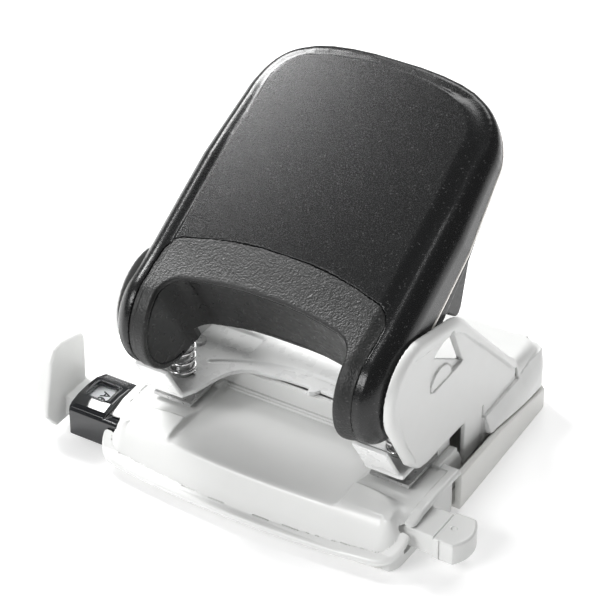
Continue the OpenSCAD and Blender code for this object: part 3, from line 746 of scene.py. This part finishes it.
def ramp(tree, source, out, stops):
    r = tree.nodes.new("ShaderNodeValToRGB")
    elements = r.color_ramp.elements
    while len(elements) < len(stops):
        elements.new(0.5)
    for e, (at, value) in zip(elements, stops):
        e.position = at
        e.color = (*value, 1) if isinstance(value, tuple) else (value, value, value, 1)
    link(tree, source, out, r, "Fac")
    return r


def spread(tree, source, low, high, into, socket):
    """A pattern spread between two values, linked into a socket."""
    link(tree, ramp(tree, source, "Fac", [(0.3, low), (0.7, high)]), "Color", into, socket)


def bump(tree, shader, source, out, strength, distance):
    b = node(tree, "ShaderNodeBump", Strength=strength, Distance=distance)
    link(tree, source, out, b, "Height")
    link(tree, b, "Normal", shader, "Normal")


def dim(tint, k):
    return tuple(c * k for c in tint)


def white_plastic(name, tint, rough=0.33, grain=0.25):
    """Moulded white plastic: faint cloudiness, fine spark-eroded grain, slightly uneven gloss."""
    material, tree, shader = new_material(name)
    coords = tree.nodes.new("ShaderNodeTexCoord")
    spread(tree, noise(tree, coords, 60.0, 3.0), dim(tint, 0.97), tint, shader, "Base Color")
    spread(tree, noise(tree, coords, 220.0), rough - 0.04, rough + 0.06, shader, "Roughness")
    bump(tree, shader, noise(tree, coords, 3800.0, 1.5), "Fac", grain, 0.00002)
    shader.inputs["IOR"].default_value = 1.52
    shader.inputs["Coat Weight"].default_value = 0.12
    shader.inputs["Coat Roughness"].default_value = 0.18
    return material


def grained_black(name, tint, rough, grain_scale, depth, painted_glint, painted_glint_scale):
    """Dark plastic with a pebbled grain, and its sparkle as tiny bright flecks painted into the base colour:
    painted glints where a grain would catch the light.
    """
    material, tree, shader = new_material(name)
    coords = tree.nodes.new("ShaderNodeTexCoord")
    pebbles = node(tree, "ShaderNodeTexVoronoi", Scale=grain_scale, Randomness=1.0)
    pebbles.feature = "SMOOTH_F1"
    link(tree, coords, "Object", pebbles, "Vector")
    fine = noise(tree, coords, grain_scale * 1.7)
    mix = tree.nodes.new("ShaderNodeMath")
    mix.operation = "ADD"
    link(tree, pebbles, "Distance", mix, 0)
    link(tree, fine, "Fac", mix, 1)
    bump(tree, shader, mix, "Value", 0.85, depth)
    # painted glints: bright specks added to the base colour, standing in for the sparkle catching the light
    glint_cells = node(tree, "ShaderNodeTexVoronoi", Scale=painted_glint_scale, Randomness=1.0)
    link(tree, coords, "Object", glint_cells, "Vector")
    painted_glints = ramp(tree, glint_cells, "Color", [(0.0, 0.0), (0.86, 0.0), (0.93, painted_glint), (1.0, painted_glint)])
    add = tree.nodes.new("ShaderNodeMix")
    add.data_type = "RGBA"
    add.blend_type = "ADD"
    add.inputs[0].default_value = 1.0
    mix_a, mix_b, mix_out = 6, 7, 2  # the colour sockets of a mix node
    spread(tree, noise(tree, coords, 45.0), dim(tint, 0.8), tint, add, mix_a)
    link(tree, painted_glints, "Color", add, mix_b)
    link(tree, add, mix_out, shader, "Base Color")
    spread(tree, fine, rough - 0.08, rough + 0.1, shader, "Roughness")
    shader.inputs["Specular IOR Level"].default_value = 0.42
    return material


def satin_black(name, tint, rough, coat=0.0):
    """Smooth dark plastic, with a clear coat where it is glossy."""
    material, tree, shader = new_material(name)
    coords = tree.nodes.new("ShaderNodeTexCoord")
    spread(tree, noise(tree, coords, 90.0, 3.0), dim(tint, 0.75), tint, shader, "Base Color")
    spread(tree, noise(tree, coords, 500.0), rough - 0.05, rough + 0.07, shader, "Roughness")
    bump(tree, shader, noise(tree, coords, 2600.0), "Fac", 0.35, 0.00002)
    shader.inputs["Specular IOR Level"].default_value = 0.3
    shader.inputs["Coat Weight"].default_value = coat
    shader.inputs["Coat Roughness"].default_value = 0.06
    return material


def metal(name, tint, rough, solid=1.0):
    """Metal with a fine grain; below 1, solid gives it the look of a metal-coloured coating."""
    material, tree, shader = new_material(name)
    coords = tree.nodes.new("ShaderNodeTexCoord")
    grain = noise(tree, coords, 900.0, 3.0)
    spread(tree, grain, dim(tint, 0.9), tint, shader, "Base Color")
    spread(tree, grain, rough - 0.05, rough + 0.08, shader, "Roughness")
    bump(tree, shader, grain, "Fac", 0.2, 0.00001)
    shader.inputs["Metallic"].default_value = solid
    return material


def clear_plastic():
    material, tree, shader = new_material("clear_window")
    coords = tree.nodes.new("ShaderNodeTexCoord")
    spread(tree, noise(tree, coords, 300.0), 0.02, 0.06, shader, "Roughness")
    shader.inputs["Base Color"].default_value = (0.97, 0.98, 1.0, 1)
    shader.inputs["Transmission Weight"].default_value = 1.0
    shader.inputs["IOR"].default_value = 1.1
    return material


def rubber():
    material, tree, shader = new_material("pad_rubber")
    coords = tree.nodes.new("ShaderNodeTexCoord")
    spread(tree, noise(tree, coords, 120.0, 3.0), 0.05, 0.075, shader, "Base Color")
    bump(tree, shader, noise(tree, coords, 1500.0, 3.0), "Fac", 0.6, 0.00008)
    shader.inputs["Roughness"].default_value = 0.85
    return material


WHITE = white_plastic("white_plastic", (0.73, 0.735, 0.725))
WARM_WHITE = white_plastic("tray_white", (0.77, 0.77, 0.745), 0.4)
PLATE_WHITE = white_plastic("plate_white", (0.82, 0.825, 0.82), 0.28, 0.12)
PRINT_WHITE = white_plastic("strip_white", (0.88, 0.88, 0.87), 0.45, 0.1)
# the last two numbers set the painted glints in the base colour: their brightness and their scale
SPARKLE = grained_black("black_sparkle", (0.006, 0.0063, 0.0066), 0.23, 2300.0, 0.00003, 0.05, 3000.0)
GRIP = grained_black("grip_texture", (0.008, 0.0084, 0.0082), 0.4, 1500.0, 0.00014, 0.04, 1900.0)
DARK = satin_black("black_satin", (0.003, 0.003, 0.0033), 0.3)
GLOSS = satin_black("black_gloss", (0.008, 0.009, 0.011), 0.12, 0.8)
INK = satin_black("print_ink", (0.02, 0.02, 0.02), 0.5)
BRIGHT = metal("bright_trim", (0.86, 0.83, 0.79), 0.3, 0.6)
STEEL = metal("steel", (0.60, 0.60, 0.60), 0.3)
SPRING = metal("spring_steel", (0.80, 0.80, 0.80), 0.18)
CLEAR = clear_plastic()
RUBBER = rubber()


def dress(piece, material):
    """Give a piece its only material."""
    piece.data.materials.clear()
    piece.data.materials.append(material)
    return piece


# ---- moulded pieces ----

PIECES = [
    # name, field, low, high, mesh step, in the handle's frame, body, CAD node, material, slot
    ("handle_top", top_shell_field, (-47, -19, -19), (47, 99, 19.5), 0.62,
     True, "handle", "handle_top_shell", SPARKLE, "black_sparkle"),
    ("handle_grip", band_field, (-40, -19, -19), (40, 24, 19.5), 0.5,
     True, "handle", "grip_band", GRIP, "grip_texture"),
    ("handle_strip", trim_field, (-47, 20, 0), (47, 99, 10.5), 0.4,
     True, "handle", "handle_trim", BRIGHT, "bright_trim"),
    ("handle_under", lower_shell_field, (-46.5, -19, -19), (46.5, 99, 17), 0.6,
     True, "handle", "handle_lower_shell", DARK, "black_satin"),
    ("paper_table", apron_field, (-55.6, -33.6, 0.5), (55.6, 23, 18), 0.5,
     False, "frame", "front_apron", WHITE, "white_plastic"),
    ("slot_plate", guide_plate_field, (-47.2, -19.5, 23), (47.2, 34.4, 39.4), 0.45,
     False, "frame", "guide_plate", PLATE_WHITE, "white_paint"),
    ("side_housing", housing_field, (-52, -25, 3.4), (52, 78.2, 74), 0.62,
     False, "frame", "housing", WHITE, "white_plastic"),
    ("bottom_tray", tray_field, (-55.4, -27.2, -0.2), (55.4, 79.2, 14), 0.6,
     False, "tray", "chip_tray", WARM_WHITE, "white_plastic"),
    ("guide_bar", rail_field, (-80, -28.2, 4), (62.3, -4, 35), 0.5,
     False, "guide", "guide_rail", WHITE, "white_plastic"),
    ("guide_end", tab_field, (61.8, -19, 5), (72.2, -3, 13.6), 0.35,
     False, "guide", "rail_end_tab", WHITE, "white_plastic"),
    ("window_body", window_block_field, (-70.3, -22.3, 2.8), (-49.8, 0.3, 16.8), 0.3,
     False, "frame", "window_block", GLOSS, "black_gloss"),
]

for name, field, low, high, step, tilted, body, cad, material, slot in PIECES:
    piece = moulded(name, field, low, high, step, HANDLE_FRAME if tilted else Matrix.Identity(4))
    dress(piece, material)
    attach(piece, body)
    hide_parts(cad)

# ---- springs ----


def wire_mesh(name, path, r, sides=14):
    """A round wire along a list of points, with closed ends."""
    path = np.array(path)
    ahead = np.gradient(path, axis=0)
    ahead /= np.linalg.norm(ahead, axis=1)[:, None]
    up = np.array([0, 0, 1.0])
    across = np.cross(ahead, up)
    across /= np.linalg.norm(across, axis=1)[:, None]
    over = np.cross(across, ahead)
    turn = np.linspace(0, 2 * math.pi, sides, endpoint=False)
    round_off = np.cos(turn)[None, :, None] * across[:, None] + np.sin(turn)[None, :, None] * over[:, None]
    rings = path[:, None] + r * round_off
    n = len(path)
    faces = []
    for i in range(n - 1):
        for j in range(sides):
            k = (j + 1) % sides
            faces.append((i * sides + j, i * sides + k, (i + 1) * sides + k, (i + 1) * sides + j))
    faces.append(tuple(reversed(range(sides))))
    faces.append(tuple((n - 1) * sides + j for j in range(sides)))
    mesh = bpy.data.meshes.new(name)
    mesh.from_pydata((rings.reshape(-1, 3) * MM).tolist(), [], faces)
    mesh.polygons.foreach_set("use_smooth", np.ones(len(mesh.polygons), bool))
    made = bmesh.new()
    made.from_mesh(mesh)
    bmesh.ops.recalc_face_normals(made, faces=made.faces)
    made.to_mesh(mesh)
    made.free()
    piece = bpy.data.objects.new(name, mesh)
    bpy.context.scene.collection.objects.link(piece)
    return piece


def spring_path(x, z0, z1, r, wire, turns):
    """A coil with a closed turn at each end."""
    steps = int(turns * 36)  # points to a turn
    t = np.linspace(0, 1, steps)
    angle = 2 * math.pi * turns * t
    closed = 1.0 / turns
    rise = np.interp(t, [0, closed, 1 - closed, 1], [0, 2.1 * wire, z1 - z0 - 4.1 * wire, z1 - z0 - 2 * wire])
    return np.stack([x + r * np.cos(angle), r * np.sin(angle), z0 + wire + rise], 1)


COIL_R, WIRE_R, COIL_TURNS = 4.1, 0.68, 8.5
z0, z1 = (corner[2] for corner in box_mm("right_return_spring"))
for side, x in (("left", -PIN_X), ("right", PIN_X)):
    path = spring_path(x, z0, z1, COIL_R, WIRE_R, COIL_TURNS)
    coil = dress(wire_mesh(side + "_coil", path, WIRE_R), SPRING)
    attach(coil, "frame")
    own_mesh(coil)
    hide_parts(side + "_return_spring")

# ---- printed format mark under the window ----


def format_mark():
    """The paper format shown in the window, as thin raised print on the strip."""
    curve = bpy.data.curves.new("format_mark", "FONT")
    curve.body = "A6"
    curve.align_x = "CENTER"
    curve.align_y = "CENTER"
    curve.size = 4.4 * MM
    curve.extrude = 0.04 * MM
    curve.offset = 0.06 * MM
    temp = bpy.data.objects.new("format_mark_text", curve)
    bpy.context.scene.collection.objects.link(temp)
    bpy.context.view_layer.update()
    mesh = bpy.data.meshes.new_from_object(temp.evaluated_get(bpy.context.evaluated_depsgraph_get()))
    bpy.data.objects.remove(temp)
    at = Vector((WINDOW_X, RAIL_Y - 0.5, RAIL_Z1 + 0.05)) * MM
    mesh.transform(Matrix.Translation(at) @ Matrix.Rotation(-math.pi / 2, 4, "Z"))
    piece = bpy.data.objects.new("format_mark", mesh)
    bpy.context.scene.collection.objects.link(piece)
    return piece


mark = dress(format_mark(), INK)
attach(mark, "guide")

# ---- CAD nodes that stay ----

KEPT = {
    "grip_pads": RUBBER, "tray_hinge_rod": STEEL, "left_die_plate": STEEL, "right_die_plate": STEEL,
    "paper_stop": WHITE, "cross_tie": PLATE_WHITE, "pin_guide_bushes": STEEL, "pivot_pins": STEEL,
    "window_lens": CLEAR, "rail_detent_spring": SPRING, "frame_screws": STEEL, "format_strip": PRINT_WHITE,
    "left_lever": STEEL, "right_lever": STEEL, "left_presser_pin": STEEL, "right_presser_pin": STEEL,
    "handle_screws": STEEL, "left_punch_pin": STEEL, "right_punch_pin": STEEL,
    "left_pin_collar": STEEL, "right_pin_collar": STEEL,
}
for name, material in KEPT.items():
    piece = frame["nodes"][name]
    dress(piece, material)
    soften = piece.modifiers.new("edges", "BEVEL")
    soften.width = 0.15 * MM
    soften.segments = 2
    soften.limit_method = "ANGLE"
    soften.angle_limit = math.radians(40)
    for p in piece.data.polygons:
        p.use_smooth = False

# ---- floor, light and camera ----


def studio():
    """A wide pale floor."""
    mesh = bpy.data.meshes.new("floor")
    half = 3.0
    corners = [(-half, -half, 0), (half, -half, 0), (half, half, 0), (-half, half, 0)]
    mesh.from_pydata(corners, [], [(0, 1, 2, 3)])
    floor = bpy.data.objects.new("floor", mesh)
    bpy.context.scene.collection.objects.link(floor)
    material, tree, shader = new_material("pale_floor")
    shader.inputs["Base Color"].default_value = (0.8, 0.8, 0.8, 1)
    shader.inputs["Roughness"].default_value = 0.9
    shader.inputs["Specular IOR Level"].default_value = 0.1
    shader.inputs["Emission Color"].default_value = (1, 1, 1, 1)
    shader.inputs["Emission Strength"].default_value = 0.35
    floor.data.materials.append(material)


def area_light(name, place, target, size, power):
    """A rectangular light at place that points at target."""
    light = bpy.data.lights.new(name, "AREA")
    light.shape = "RECTANGLE"
    light.size, light.size_y = size
    light.energy = power
    lamp = bpy.data.objects.new(name, light)
    lamp.location = place
    lamp.rotation_euler = (Vector(target) - Vector(place)).to_track_quat("-Z", "Y").to_euler()
    bpy.context.scene.collection.objects.link(lamp)


def world():
    """Even white light from all around."""
    made = bpy.data.worlds.new("soft_room")
    made.use_nodes = True
    background = made.node_tree.nodes["Background"]
    background.inputs["Color"].default_value = (1, 1, 1, 1)
    background.inputs["Strength"].default_value = 0.22
    bpy.context.scene.world = made


def camera():
    """A long lens, from the front right and above."""
    data = bpy.data.cameras.new("camera")
    data.lens = 168.0
    data.sensor_width = 36.0
    data.clip_start, data.clip_end = 0.01, 20.0
    cam = bpy.data.objects.new("camera", data)
    azimuth, elevation, roll = math.radians(31.4), math.radians(34.5), math.radians(0.1)
    level = math.cos(elevation)
    back = Vector((math.sin(azimuth) * level, -math.cos(azimuth) * level, math.sin(elevation)))
    cam.location = Vector((369.33, -598.71, 550.72)) * MM
    cam.rotation_mode = "QUATERNION"
    turn = (-back).to_track_quat("-Z", "Y").to_matrix().to_4x4() @ Matrix.Rotation(roll, 4, "Z")
    cam.rotation_quaternion = turn.to_quaternion()
    bpy.context.scene.collection.objects.link(cam)
    bpy.context.scene.camera = cam


studio()
world()
camera()
area_light("left_box", (-0.90, 0.26, 1.0), (0, 0, 0.08), (0.4, 0.55), 21)
area_light("front_box", (-0.35, -1.0, 0.8), (0, 0, 0.04), (0.7, 0.4), 10)
area_light("back_box", (-0.05, 0.75, 1.0), (0, 0, 0.05), (0.9, 0.5), 8)
bpy.context.scene.view_settings.view_transform = "Standard"
